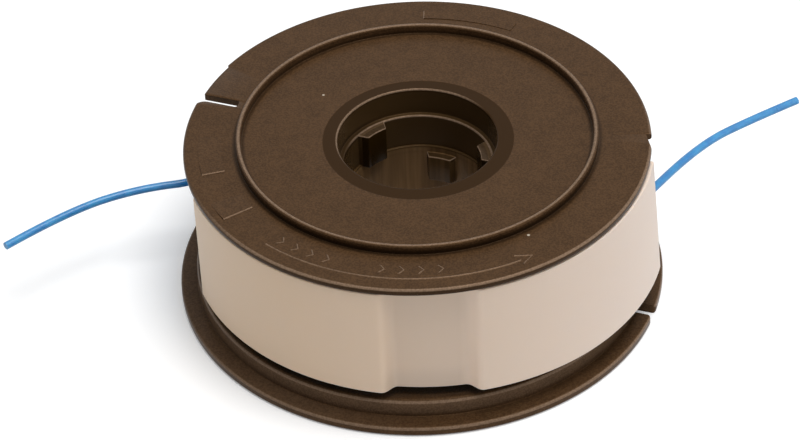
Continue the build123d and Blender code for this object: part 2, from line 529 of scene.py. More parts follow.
@dataclass(frozen=True)
class EdgeCircle:
    """Edge or corner of the turned moulding where its finish paints highlights, light and shade, all round
    or towards one side.
    """

    radius: float
    height: float
    reach: float
    inset: float = 0.0
    drop: float = 0.0
    towards: float | None = None
    amount: float = 1.0
    full: float = 0.4
    side_limits: Span = (-0.1, 0.6)

    def share(self, at: Place) -> Value:
        """How far the treatment shows at a place.

        Args:
            at: the place.

        Returns:
            A value from 0 to 1.
        """
        radius, reach = (self.radius - self.inset) * MM, self.reach * MM
        out = at.radius - radius
        up = at.z - (self.height - self.drop) * MM
        near = length_of(out, up).rises(reach, reach * self.full) * self.amount
        if self.towards is None:
            return near
        side = polar(1.0, self.towards)
        low, high = (limit * radius for limit in self.side_limits)
        return near * (at.x * side.x + at.y * side.y).rises(low, high)


@dataclass(frozen=True)
class Speck:
    """Bright dusty speck on the upper flange."""

    radius: float
    azimuth: float
    size: float

    def share(self, at: Place, top: float) -> Value:
        """How far the speck covers a place.

        Args:
            at: the place.
            top: height of the flange's top face.

        Returns:
            A value from 0 to 1.
        """
        spot = polar(self.radius, self.azimuth, top) * MM
        apart = length_of(*(axis - middle for axis, middle in zip((at.x, at.y, at.z), spot)))
        return apart.rises(self.size * MM, self.size * MM / 2)


@dataclass(frozen=True)
class MouldingFinish:
    """Warm brown-black plastic with a fine spark-eroded grain, painted highlights on its edges, painted
    shade in its corners and painted light in its bore.
    """

    base: Colour = (0.046, 0.0238, 0.0106)
    pale: Colour = (0.081, 0.0425, 0.0192)
    polished: Colour = (0.024, 0.0095, 0.0006)
    hollow: Colour = (0.019, 0.0092, 0.0016)
    # painted light: paler colour that brightens the dim bore walls and lower lugs
    bore_light_colour: Colour = (0.200, 0.1150, 0.0500)
    # painted highlight colour for edges and crests
    highlight_colour: Colour = (0.212, 0.1420, 0.0940)
    # painted shade colour for corners and shaded walls
    painted_shade_colour: Colour = (0.012, 0.0060, 0.0025)
    dust_and_top_highlight: Colour = (0.55, 0.48, 0.38)
    sheen_tint: Colour = (1.0, 0.62, 0.36)
    specular: float = 0.12
    roughness: float = 0.30
    roughness_spread: float = 0.1
    grain: float = 0.35
    grain_limits: Span = (0.4, 0.6)
    grain_share: float = 0.75
    grain_depth: float = 0.05
    grain_strength: float = 0.6
    mottle: float = 3.5
    mottle_limits: Span = (0.35, 0.65)
    polished_radius: float = 17.57
    polished_offset: Span = (0.2, -0.35)
    polished_edge: Span = (0.12, -0.12)
    polished_smoothing: float = 0.08
    polished_grain_loss: float = 0.8
    inside_below: Span = (-0.2, -0.8)
    wall_beyond: Span = (-1.1, -0.9)
    mouth_within: Span = (1.4, 1.2)
    mouth_painted_light: float = 0.2
    bore_within: Span = (0.1, 0.0)
    bore_below: Span = (-0.05, -0.5)
    lug_painted_light: float = 0.4
    streak: float = 1.1
    streak_stretch: Colour = (1.0, 1.0, 0.05)
    streak_limits: Span = (0.3, 0.7)
    streak_share: float = 0.45
    painted_shade_share: float = 0.6
    edge_patchiness: float = 0.35
    dust_share: float = 0.8
    specks: tuple[Speck, ...] = (Speck(34.7, -57.1, 0.34), Speck(22.1, 140.5, 0.30))

    def bore_painted_light(
        self, tree: ShaderTree, at: Place, inside: Value, bore: float, bore_top: float
    ) -> tuple[Value, Value]:
        """How far painted light brightens the bore's dim walls.

        Args:
            tree: the material's tree.
            at: the place.
            inside: 1 below the flange's top edge, else 0.
            bore: radius that the lower bore's painted light lies inside.
            bore_top: height where the lower bore's painted light starts.

        Returns:
            The painted light on the mouth's wall, and the streaked painted light on the lower wall and the
            lugs on it.
        """
        radius = at.radius
        wall = radius.step_at(bore, self.wall_beyond)
        mouth = wall * radius.step_at(bore, self.mouth_within) * inside
        below = at.z.step_at(bore_top, self.bore_below)
        lower = self.lug_painted_light + wall * (1 - self.lug_painted_light)
        lower = lower * radius.step_at(bore, self.bore_within) * below
        noise = tree.noise(tree.stretched(at.vector, self.streak_stretch), self.streak, detail=2.0)
        streaks = 1 - self.streak_share + noise.rises(*self.streak_limits) * self.streak_share
        return mouth * self.mouth_painted_light, lower * streaks

    def material(
        self,
        top: float,
        bore: float,
        bore_top: float,
        painted_highlights: Sequence[EdgeCircle],
        shaded_corners: Sequence[EdgeCircle],
    ) -> bpy.types.Material:
        """Builds the material.

        Args:
            top: height of the upper flange's top face.
            bore: radius that the lower bore's painted light lies inside.
            bore_top: height where the lower bore's painted light starts.
            painted_highlights: circles whose edges get a painted highlight, a paler colour standing in for
                light.
            shaded_corners: circles in whose corners shade is painted as a deeper colour.

        Returns:
            The material.
        """
        tree = ShaderTree(bpy.data.materials.new("moulding_grained_brown_black"))
        at = tree.place()
        grain = tree.noise(at.vector, self.grain, detail=3.0, rough=0.6)
        mottle = tree.noise(at.vector, self.mottle, detail=4.0, rough=0.6)
        patches = grain.rises(*self.grain_limits)
        spread = mottle.rises(*self.mottle_limits) * (1 - self.grain_share) + patches * self.grain_share
        offset = [axis - away * MM for axis, away in zip((at.x, at.y), self.polished_offset)]
        smooth_ring = length_of(*offset).step_at(self.polished_radius, self.polished_edge)
        inside = at.z.step_at(top, self.inside_below)
        colour = tree.blend(spread, self.base, self.pale)
        colour = tree.blend(smooth_ring, colour, self.polished)
        colour = tree.blend(smooth_ring * inside, colour, self.hollow)
        # painted light: paler colour on the bore's mouth wall, lower wall and lower lugs, standing in for
        # light reaching them
        for painted_light in self.bore_painted_light(tree, at, inside, bore, bore_top):
            colour = tree.blend(painted_light, colour, self.bore_light_colour)
        # painted shade: deeper colour in corners and on walls where shade falls
        for corner in shaded_corners:
            colour = tree.blend(corner.share(at) * self.painted_shade_share, colour, self.painted_shade_colour)
        patchy = 1 - self.edge_patchiness + patches * self.edge_patchiness
        # painted highlights: paler colour on edges and crests where light catches; the broad circles paint
        # light on the lower flange's shaded step and rim
        for share in [tree.own(PAINTED_HIGHLIGHT), *(edge.share(at) for edge in painted_highlights)]:
            colour = tree.blend(share * patchy, colour, self.highlight_colour)
        for speck in self.specks:
            colour = tree.blend(speck.share(at, top) * self.dust_share, colour, self.dust_and_top_highlight)
        rough = self.roughness + (mottle - 0.5) * self.roughness_spread
        relief = grain * (1.0 - smooth_ring * self.polished_grain_loss)
        return tree.finish(
            {
                "Base Color": colour,
                "Roughness": rough - smooth_ring * self.polished_smoothing,
                "Normal": tree.bump(relief, self.grain_depth * MM, self.grain_strength),
                "Specular IOR Level": self.specular,
                "Specular Tint": (*self.sheen_tint, 1.0),
            }
        )


@dataclass(frozen=True)
class Clearness:
    """How far light sinks into a slightly clear plastic."""

    weight: float
    spread: Colour
    depth: float

    def inputs(self) -> dict[str, Any]:
        """Inputs of the Principled shader."""
        sizes = {"Subsurface Radius": self.spread, "Subsurface Scale": self.depth * MM}
        return {"Subsurface Weight": self.weight, **sizes}


@dataclass(frozen=True)
class LineFinish:
    """Smooth extruded nylon line, a little clear."""

    base: Colour = (0.042, 0.275, 0.550)
    deep: Colour = (0.031, 0.208, 0.480)
    roughness: float = 0.30
    roughness_spread: float = 0.1
    streak: float = 2.5
    streak_limits: Span = (0.35, 0.65)
    clear: Clearness = Clearness(0.25, spread=(0.2, 0.5, 1.0), depth=1.0)

    def material(self) -> bpy.types.Material:
        """Builds the material.

        Returns:
            The material.
        """
        tree = ShaderTree(bpy.data.materials.new("line_blue_nylon"))
        streak = tree.noise(tree.place().vector, self.streak, detail=2.0)
        return tree.finish(
            {
                "Base Color": tree.blend(streak.rises(*self.streak_limits), self.deep, self.base),
                "Roughness": self.roughness + (streak - 0.5) * self.roughness_spread,
                **self.clear.inputs(),
            }
        )


@dataclass(frozen=True)
class BandFinish:
    """Thin milky strip, yellowed at its left end, with painted shade in its recess and painted light on the
    recess's right bend, and lighter along its cut edge.
    """

    fresh: Colour = (0.705, 0.580, 0.493)
    yellowed: Colour = (0.725, 0.535, 0.365)
    cut: Colour = (0.90, 0.84, 0.78)
    # painted shade colour of the recess
    recess_shade_colour: Colour = (0.560, 0.441, 0.345)
    # painted light colour for the recess's right bend
    bend_light_colour: Colour = (1.0, 0.78, 0.625)
    roughness: float = 0.42
    roughness_spread: float = 0.08
    cloud: float = 14.0
    cloud_share: float = 0.25
    cut_height: float = 0.30
    recess: Span = (-7.2, 6.6)
    recess_left: Span = (-1.4, 1.0)
    recess_right: Span = (1.0, -1.0)
    low_part: Span = (5.5, 2.0)
    recess_shade: float = 0.45
    low_recess_shade: float = 0.35
    bend: Span = (7.3, 9.3)
    bend_left: Span = (-0.6, 1.0)
    bend_right: Span = (1.2, -0.6)
    bend_light_share: float = 0.5
    clear: Clearness = Clearness(0.3, spread=(1.0, 0.8, 0.6), depth=1.2)

    def material(self, bottom: float, left: float, right: float) -> bpy.types.Material:
        """Builds the material.

        Args:
            bottom: height of the band's lower edge.
            left: where along X the yellowed end is.
            right: where along X the fresh end is.

        Returns:
            The material.
        """
        tree = ShaderTree(bpy.data.materials.new("band_milky_strip"))
        at = tree.place()
        cloud = tree.noise(at.vector, self.cloud, detail=2.0)
        fresher = at.x.rises(left * MM, right * MM) + (cloud - 0.5) * self.cloud_share
        inside = at.x.between(self.recess, self.recess_left, self.recess_right)
        # painted shade in the recess, stronger towards its lower part
        recess_shade = at.z.step_at(bottom, self.low_part) * self.low_recess_shade + self.recess_shade
        bent = at.x.between(self.bend, self.bend_left, self.bend_right)
        edge = at.z.step_at(bottom, (self.cut_height, 0.0))
        colour = tree.blend(fresher, self.yellowed, self.fresh)
        colour = tree.blend(inside * recess_shade, colour, self.recess_shade_colour)
        # painted light on the recess's right bend, lifting its shaded side
        colour = tree.blend(bent * self.bend_light_share, colour, self.bend_light_colour)
        return tree.finish(
            {
                "Base Color": tree.blend(edge, colour, self.cut),
                "Roughness": self.roughness + (cloud - 0.5) * self.roughness_spread,
                **self.clear.inputs(),
            }
        )


class GeometryTree(TreeBuilder):
    """Geometry Nodes tree under construction, with named inputs."""

    def __init__(self, name: str) -> None:
        """Starts a tree with a geometry input and output.

        Args:
            name: tree's name.
        """
        super().__init__(bpy.data.node_groups.new(name, "GeometryNodeTree"))
        for way in ("INPUT", "OUTPUT"):
            self.tree.interface.new_socket("Geometry", in_out=way, socket_type="NodeSocketGeometry")
        self.inlet = self.node("NodeGroupInput")
        self.outlet = self.node("NodeGroupOutput")

    def asks(self, kind: str, *names: str) -> list[bpy.types.NodeSocket]:
        """Adds named inputs.

        Args:
            kind: their socket type.
            names: their names.

        Returns:
            Their sockets inside the tree.
        """
        for name in names:
            self.tree.interface.new_socket(name, in_out="INPUT", socket_type=kind)
        return [self.inlet.outputs[name] for name in names]

    def out(self, kind: str, inputs: dict[Any, Any] | None = None, **settings: Any) -> bpy.types.NodeSocket:
        """Adds a node, as the method of that name does, and returns its first output."""
        return self.node(kind, inputs, **settings).outputs[0]

    def upright(self, size: bpy.types.NodeSocket) -> bpy.types.NodeSocket:
        """Vector of a size along Z."""
        return self.out("ShaderNodeCombineXYZ", {2: size})

    def ends(self, geometry: bpy.types.NodeSocket) -> None:
        """Realizes the geometry, gives it the asked material and sends it out.

        Args:
            geometry: what the tree has made.
        """
        (material,) = self.asks("NodeSocketMaterial", "Material")
        real = self.out("GeometryNodeRealizeInstances", {0: geometry})
        dressed = self.out("GeometryNodeSetMaterial", {"Geometry": real, "Material": material})
        self.tree.links.new(dressed, self.outlet.inputs[0])

    def shape(self, target: bpy.types.Object, values: dict[str, Any]) -> bpy.types.Object:
        """Runs the tree on an object and keeps the plain mesh.

        Args:
            target: object that gives the tree its geometry.
            values: the tree's inputs by name.

        Returns:
            The object.
        """
        modifier = target.modifiers.new(self.tree.name, "NODES")
        modifier.node_group = self.tree
        for item in self.tree.interface.items_tree:
            if item.item_type == "SOCKET" and item.in_out == "INPUT" and item.name in values:
                modifier[item.identifier] = values[item.name]
        return settle(target)


class WoundLayer(GeometryTree):
    """Tree that winds one layer of line as a helix of round section."""

    def __init__(self, section_points: int = 12) -> None:
        """Builds the tree.

        Args:
            section_points: points round the line's section.
        """
        super().__init__("wound_layer")
        names = ("Turns", "Radius", "Rise", "Start Height", "Start Azimuth", "Line Radius")
        turns, radius, rise, floor, start, thickness = self.asks("NodeSocketFloat", *names)
        (detail,) = self.asks("NodeSocketInt", "Points In Turn")
        shape = {"Rotations": turns, "Start Radius": radius, "End Radius": radius, "Height": rise}
        helix = self.out("GeometryNodeCurveSpiral", {"Resolution": detail, **shape})
        circle = {"Resolution": section_points, "Radius": thickness}
        section = self.out("GeometryNodeCurvePrimitiveCircle", circle)
        curves = {"Curve": helix, "Profile Curve": section, "Fill Caps": True}
        tube = self.out("GeometryNodeCurveToMesh", curves)
        moves = {"Translation": self.upright(floor), "Rotation": self.upright(start)}
        self.ends(self.out("GeometryNodeTransform", {"Geometry": tube, **moves}))


class RadialRow(GeometryTree):
    """Tree that repeats its geometry at even azimuths about the spool's axis."""

    def __init__(self, material: bpy.types.Material) -> None:
        """Builds the tree.

        Args:
            material: finish of the copies.
        """
        super().__init__("radial_row")
        self.material = material
        (count,) = self.asks("NodeSocketInt", "Count")
        start, step, lift = self.asks("NodeSocketFloat", "Start", "Step", "Lift")
        points = self.out("GeometryNodePoints", {"Count": count, "Position": self.upright(lift)})
        index = self.out("GeometryNodeInputIndex")
        angle = self.out("ShaderNodeMath", {0: index, 1: step, 2: start}, operation="MULTIPLY_ADD")
        copied = {"Points": points, "Instance": self.inlet.outputs["Geometry"]}
        self.ends(self.out("GeometryNodeInstanceOnPoints", {**copied, "Rotation": self.upright(angle)}))

    def repeat(
        self, target: bpy.types.Object, count: int, start: float, step: float, lift: float
    ) -> bpy.types.Object:
        """Runs the tree on a piece made at azimuth 0.

        Args:
            target: the piece.
            count: how many copies.
            start: azimuth of the first copy.
            step: azimuth from copy to copy.
            lift: height to raise the copies by.

        Returns:
            The row of copies.
        """
        values = {
            "Count": count,
            "Start": math.radians(start),
            "Step": math.radians(step),
            "Lift": lift * MM,
            "Material": self.material,
        }
        return self.shape(target, values)


@dataclass(frozen=True)
class Roundings:
    """Roundings of the turned moulding's edges and inner corners."""

    hub_foot: float = 0.35
    hollow_roof: float = 1.0
    hollow_foot: float = 0.4
    rim_edge: float = 0.55
    step_foot: float = 0.15
    step_edge: float = 0.9
    chamber_corner: float = 0.2
    divider_edge: float = 0.5
    flange_low_edge: float = 0.45
    flange_high_edge: float = 0.55
    ring_foot: float = 0.12
    ring_crest: float = 0.46
    mouth_edge: float = 0.35
    ledge_corner: float = 0.15
    ledge_edge: float = 0.3
    bore_step_corner: float = 0.1
    bore_step_edge: float = 0.15


@dataclass
class SpoolMoulding:
    """The brown-black moulding: flanges, drum, divider, hub, lugs, slots and nick."""

    rim_radius: float
    ring_top: float
    upper_flange_radius: float = 43.0
    upper_flange_thickness: float = 1.4
    ring_height: float = 1.8
    ring_radius: float = 32.80
    ring_width: float = 0.95
    lower_rim_width: float = 3.2
    lower_rim_thickness: float = 1.95
    lower_step_height: float = 5.6
    wall: float = 2.0
    drum_radius: float = 32.8
    divider_radius: float = 39.55
    divider_thickness: float = 1.3
    bore_radius: float = 13.7
    bore_step: float = 0.4
    bore_step_depth: float = 6.9
    # how far the bore's painted light reaches beyond its radius
    bore_light_margin: float = 0.3
    mouth_radius: float = 14.67
    mouth_depth: float = 5.5
    hub_wall: float = 1.9
    lug_count: int = 3
    lug_inner_radius: float = 11.7
    lug_tip_span: float = 21.0
    lug_root_span: float = 28.0
    lug_root: float = 0.6
    lug_lengths: Span = (7.3, 5.6)
    lug_rows_apart: float = 0.9
    lug_azimuth: float = 9.2
    lug_arc_steps: int = 6
    lug_edge: float = 0.22
    lug_edge_steps: int = 3
    lug_edge_angle: float = 40.0
    lug_edge_margin: float = 0.05
    # share of painted highlight on the lug tops, upper row then lower row
    lug_top_highlight: Span = (0.16, 0.0)
    slot_azimuth: float = 159.3
    slot_width: float = 1.9
    lower_slot_width: float = 2.8
    slot_length: float = 7.8
    slot_end_corner: float = 0.5
    slot_lips: Span = (1.0, 2.0)
    lower_slot_lips: Span = (0.8, 0.8)
    set_in_depth: float = 0.6
    set_in_end: float = 145.5
    set_in_ramp: float = 3.4
    nick_azimuth: float = -2.3
    nick_depth: float = 1.1
    nick_length: float = 4.9
    nick_back: float = 0.3
    cut_margin: float = 2.0
    soft_drop: float = 0.1
    soft_width: float = 0.2
    segments: int = 288
    roundings: Roundings = Roundings()

    @property
    def top(self) -> float:
        """Height of the upper flange's top face."""
        return self.ring_top - self.ring_height

    @property
    def underside(self) -> float:
        """Height of the upper flange's underside."""
        return self.top - self.upper_flange_thickness

    @property
    def divider_low(self) -> float:
        """Height of the divider's underside."""
        return (self.lower_step_height + self.underside - self.divider_thickness) / 2

    @property
    def divider_high(self) -> float:
        """Height of the divider's top face."""
        return self.divider_low + self.divider_thickness

    @property
    def ledge(self) -> float:
        """Height of the ledge below the bore's mouth."""
        return self.top - self.mouth_depth

    @property
    def bore_step_height(self) -> float:
        """Height of the small step in the bore."""
        return self.ledge - self.bore_step_depth

    @property
    def lower_bore(self) -> float:
        """Radius of the bore below its small step."""
        return self.bore_radius - self.bore_step

    @property
    def lower_lug_top(self) -> float:
        """Height of the lower lugs' tops."""
        return self.ledge - self.lug_lengths[0] - self.lug_rows_apart

    @property
    def step_radius(self) -> float:
        """Radius of the lower flange's raised step."""
        return self.rim_radius - self.lower_rim_width

    @property
    def ring_sides(self) -> Span:
        """Radii of the low ring's inner and outer walls."""
        return self.ring_radius - self.ring_width / 2, self.ring_radius + self.ring_width / 2

    @property
    def painted_highlight_edges(self) -> list[EdgeCircle]:
        """Circles whose edges get painted highlights.

        Returns:
            The broad painted light on the lower flange's step and left rim, then the fine painted highlight
            lines.
        """
        rim_top = self.lower_rim_thickness
        rim_middle = self.rim_radius - self.lower_rim_width / 2
        step_middle = (rim_top + self.lower_step_height) / 2
        # painted light over the lower flange's step and left rim, then painted highlight lines along the
        # edges
        return [
            EdgeCircle(self.step_radius, step_middle, reach=1.7, amount=0.34),
            EdgeCircle(rim_middle, rim_top, reach=2.2, towards=180.0, amount=0.2),
            EdgeCircle(self.ring_radius, self.ring_top, reach=0.36, inset=0.06),
            EdgeCircle(self.upper_flange_radius, self.top, reach=0.40, inset=0.22, drop=0.08, towards=-75.0),
            EdgeCircle(self.mouth_radius, self.top, reach=0.32, inset=-0.1, drop=0.1, towards=120.0),
            EdgeCircle(self.bore_radius, self.ledge, reach=0.32, inset=-0.1, drop=0.1, towards=72.0),
            EdgeCircle(self.rim_radius, rim_top, reach=0.42, inset=0.05, drop=0.3, towards=-80.0),
            EdgeCircle(self.step_radius, self.lower_step_height, reach=0.40, inset=0.12, drop=0.45),
        ]

    @property
    def painted_shade_corners(self) -> list[EdgeCircle]:
        """Circles in whose corners shade is painted as a deeper colour.

        Returns:
            Those of the flange's rim, the ring, the ledge and the lower lugs' tops.
        """
        ring_in, ring_out = self.ring_sides
        ledge_middle = (self.mouth_radius + self.bore_radius) / 2
        lug_middle = (self.lug_inner_radius + self.lower_bore) / 2
        # painted shade on the flange rim's front wall, round the ring's feet and front wall, on the ledge's
        # left side and on the lower lugs' tops
        return [
            EdgeCircle(self.upper_flange_radius, self.top, reach=0.8, drop=0.85, towards=-80.0),
            EdgeCircle(ring_out, self.top, reach=0.95),
            EdgeCircle(ring_in, self.top, reach=0.9),
            EdgeCircle(ring_out, self.top, reach=0.75, drop=-0.45, towards=-90.0),
            EdgeCircle(ledge_middle, self.ledge, reach=1.2, towards=195.0),
            EdgeCircle(lug_middle, self.lower_lug_top, reach=0.95),
        ]

    def turned_body(self) -> bpy.types.Object:
        """Turns the half-section about the axis.

        Returns:
            The moulding without its lugs and cuts.
        """
        soft = self.roundings
        hub_radius = self.mouth_radius + self.hub_wall
        drum_inside = self.drum_radius - self.wall
        step_inside = self.step_radius - self.wall
        plateau_low = self.lower_step_height - self.wall
        ring_in, ring_out = self.ring_sides
        section = rounded(
            [
                (self.lower_bore, 0, soft.hub_foot),
                (hub_radius, 0, soft.hub_foot),
                (hub_radius, self.underside, soft.hollow_roof),
                (drum_inside, self.underside, soft.hollow_roof),
                (drum_inside, plateau_low, soft.hollow_foot),
                (step_inside, plateau_low, soft.hollow_foot),
                (step_inside, 0, soft.hollow_foot),
                (self.rim_radius, 0, soft.rim_edge),
                (self.rim_radius, self.lower_rim_thickness, soft.rim_edge),
                (self.step_radius, self.lower_rim_thickness, soft.step_foot),
                (self.step_radius, self.lower_step_height, soft.step_edge),
                (self.drum_radius, self.lower_step_height, soft.chamber_corner),
                (self.drum_radius, self.divider_low, soft.chamber_corner),
                (self.divider_radius, self.divider_low, soft.divider_edge),
                (self.divider_radius, self.divider_high, soft.divider_edge),
                (self.drum_radius, self.divider_high, soft.chamber_corner),
                (self.drum_radius, self.underside, soft.chamber_corner),
                (self.upper_flange_radius, self.underside, soft.flange_low_edge),
                (self.upper_flange_radius, self.top, soft.flange_high_edge),
                (ring_out, self.top, soft.ring_foot),
                (ring_out, self.ring_top, soft.ring_crest),
                (ring_in, self.ring_top, soft.ring_crest),
                (ring_in, self.top, soft.ring_foot),
                (self.mouth_radius, self.top, soft.mouth_edge),
                (self.mouth_radius, self.ledge, soft.ledge_corner),
                (self.bore_radius, self.ledge, soft.ledge_edge),
                (self.bore_radius, self.bore_step_height, soft.bore_step_corner),
                (self.lower_bore, self.bore_step_height, soft.bore_step_edge),
            ]
        )
        return turned("spool_moulding", supported(section), self.segments)

    @staticmethod
    def spun(plan: Ring, azimuth: float) -> Ring:
        """Plan points turned about the axis by an azimuth."""
        spin = Matrix.Rotation(math.radians(azimuth), 2)
        return [spin @ point.to_2d() for point in plan]

    def slot_plan(self, rim: float, azimuth: float, width: float, lips: Span) -> Ring:
        """Plan outline of a parking slot's cutter.

        Args:
            rim: radius of the rim that the slot opens through.
            azimuth: slot's azimuth.
            width: slot's width.
            lips: rounding of the mouth on its clockwise and anticlockwise sides.

        Returns:
            Points round the cutter.
        """
        half = width / 2
        start = rim - self.slot_length
        past = rim + self.cut_margin
        right = -half - lips[0] - self.cut_margin
        left = half + lips[1] + self.cut_margin
        plan = rounded(
            [
                (start, -half, self.slot_end_corner),
                (rim, -half, lips[0]),
                (rim, right, 0),
                (past, right, 0),
                (past, left, 0),
                (rim, left, 0),
                (rim, half, lips[1]),
                (start, half, self.slot_end_corner),
            ]
        )
        return self.spun(plan, azimuth)

    def rim_cuts(self) -> dict[str, Ring]:
        """Plan outlines of the cuts in the upper rim.

        Returns:
            The outlines of the slot, the set-in stretch and the nick by name.
        """
        flange = self.upper_flange_radius
        past = flange + self.cut_margin
        inner = flange - self.set_in_depth
        ramp_end = self.set_in_end - self.set_in_ramp * past / inner
        steps = round(self.slot_azimuth - self.set_in_end)
        set_in = [polar(inner, a) for a in spaced(self.set_in_end, self.slot_azimuth, steps)]
        set_in += [polar(past, a) for a in spaced(self.slot_azimuth, ramp_end, steps)]
        notch = flange - self.nick_depth
        reach = (past - notch) / self.nick_depth
        nick = [(notch, 0), (past, self.nick_back * reach), (past, -self.nick_length * reach)]
        return {
            "upper_slot": self.slot_plan(flange, self.slot_azimuth, self.slot_width, self.slot_lips),
            "rim_set_in": set_in,
            "rim_nick": self.spun([Vector(point) for point in nick], self.nick_azimuth),
        }

    def cutters(self) -> list[bpy.types.Object]:
        """Builds the cutters of both rims.

        Returns:
            Those of the upper rim, which soften its upper edges, and that of the lower slot.
        """
        margin = self.cut_margin
        low, high = self.top - self.soft_drop, self.top + self.soft_drop
        result = []
        for name, plan in self.rim_cuts().items():
            wide = grown(plan, 2 * self.soft_width)
            result.append(prism(name, (plan, self.underside - margin), (plan, low), (wide, high)))
        opposite = self.slot_azimuth + 180
        plan = self.slot_plan(self.rim_radius, opposite, self.lower_slot_width, self.lower_slot_lips)
        result.append(prism("lower_slot", (plan, -margin), (plan, self.lower_step_height + margin)))
        return result

    def lug(self, length: float, dust_and_top_highlight: float) -> bpy.types.Object:
        """Builds one tapered drive lug at azimuth 0, with its top at height 0.

        Args:
            length: its length down the bore.
            dust_and_top_highlight: how much of the painted highlight colour its top takes.

        Returns:
            The lug, with a painted highlight on its top edges and part of one on its top.
        """
        tip, root, steps = self.lug_tip_span / 2, self.lug_root_span / 2, self.lug_arc_steps
        plan = [polar(self.lug_inner_radius, azimuth) for azimuth in spaced(-tip, tip, steps)]
        plan += [polar(self.bore_radius + self.lug_root, azimuth) for azimuth in spaced(root, -root, steps)]
        lug = prism("drive_lug", (plan, -length), (plan, 0))
        bevel = lug.modifiers.new("soft_edges", "BEVEL")
        bevel.width = self.lug_edge * MM
        bevel.segments = self.lug_edge_steps
        bevel.limit_method = "ANGLE"
        bevel.angle_limit = math.radians(self.lug_edge_angle)
        settle(lug)
        low, high = (-self.lug_edge * MM * part for part in (1 - self.lug_edge_margin, self.lug_edge_margin))
        # painted highlight: the top faces take part of the highlight colour, the top edges all of it
        paint_highlight(lug, [v.index for v in lug.data.vertices if v.co.z >= high], dust_and_top_highlight)
        return paint_highlight(lug, [v.index for v in lug.data.vertices if low < v.co.z < high])

    def lugs(self, row: RadialRow) -> list[bpy.types.Object]:
        """Builds the two staggered rows of lugs.

        Args:
            row: tree that repeats a lug.

        Returns:
            The upper row and the lower row.
        """
        apart = 360 / self.lug_count
        starts = (self.lug_azimuth, self.lug_azimuth + apart / 2)
        rows = zip(self.lug_lengths, self.lug_top_highlight, starts, (self.ledge, self.lower_lug_top))
        return [
            row.repeat(self.lug(length, dust_and_top_highlight), self.lug_count, start, apart, top)
            for length, dust_and_top_highlight, start, top in rows
        ]

    def build(self, finish: MouldingFinish) -> bpy.types.Object:
        """Builds and dresses the moulding.

        Args:
            finish: its plastic.

        Returns:
            The moulding, standing for the CAD node.
        """
        # radius inside which the lower bore gets painted light
        bore_light_radius = self.bore_radius + self.bore_light_margin
        edges = self.painted_highlight_edges, self.painted_shade_corners
        material = finish.material(self.top, bore_light_radius, self.bore_step_height, *edges)
        body = self.turned_body()
        for cutter in self.cutters():
            cut = body.modifiers.new(cutter.name, "BOOLEAN")
            cut.operation = "DIFFERENCE"
            cut.solver = "EXACT"
            cut.object = cutter
            settle(body)
            bpy.data.objects.remove(cutter)
        moulding = join("spool_moulding", [body, *self.lugs(RadialRow(material))])
        dress(moulding, material, Crease.MOULDED)
        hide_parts("spool")
        return moulding


@dataclass(frozen=True)
class RaisedPanel:
    """Bare sector that rises along the flange to a softened step at its end."""

    radii: Span
    azimuths: Span
    heights: Span
    rooted: float = 0.1
    soft_width: float = 0.26
    soft_drop: float = 0.12
    crest_width: float = 0.05
    end_highlight: float = 0.75

    def build(self, top: float) -> bpy.types.Object:
        """Builds the panel.

        Args:
            top: height of the face that it stands on.

        Returns:
            The panel, with a painted highlight on the crest of its end.
        """
        inner, outer = self.radii
        start, end = self.azimuths
        low, high = self.heights
        middle = (inner + outer) / 2
        last = end - math.degrees(self.soft_width / middle)
        steps = round(end - start)
        stations = [*zip(spaced(start, last, steps), spaced(low, high, steps))]
        stations.append((last + math.degrees(self.crest_width / middle), high))
        stations.append((end, high - self.soft_drop))
        base = top - self.rooted
        rings = []
        for azimuth, height in stations:
            crest = top + height
            corners = [(inner, base), (outer, base), (outer, crest), (inner, crest)]
            rings.append([polar(radius, azimuth, level) for radius, level in corners])
        panel = loft("raised_panel", rings)
        end_crests = [4 * ring + corner for ring in (len(rings) - 2, len(rings) - 1) for corner in (2, 3)]
        # painted highlight on the end's crest
        return paint_highlight(panel, end_crests, self.end_highlight)


@dataclass(frozen=True)
class Ridge:
    """Fine raised line along a path of (radius, azimuth) points on the flange."""

    path: Sequence[Span]
    width: float = 0.5
    height: float = 0.11
    rooted: float = 0.1

    def build(self, top: float) -> bpy.types.Object:
        """Builds the line.

        Args:
            top: height of the face that it stands on.

        Returns:
            The line, with a painted highlight on its crest.
        """
        points = [polar(radius, azimuth, top) for radius, azimuth in self.path]
        crest, root = Vector((0, 0, self.height)), Vector((0, 0, self.rooted))
        rings = []
        for index, here in enumerate(points):
            before = points[max(index - 1, 0)]
            after = points[min(index + 1, len(points) - 1)]
            along = (after - before).normalized()
            side = Vector((along.y, -along.x, 0)) * self.width / 2
            rings.append([here + crest, here + side, here + side - root, here - side - root, here - side])
        line = loft("raised_line", rings)
        return paint_highlight(line, range(0, len(line.data.vertices), len(rings[0])))


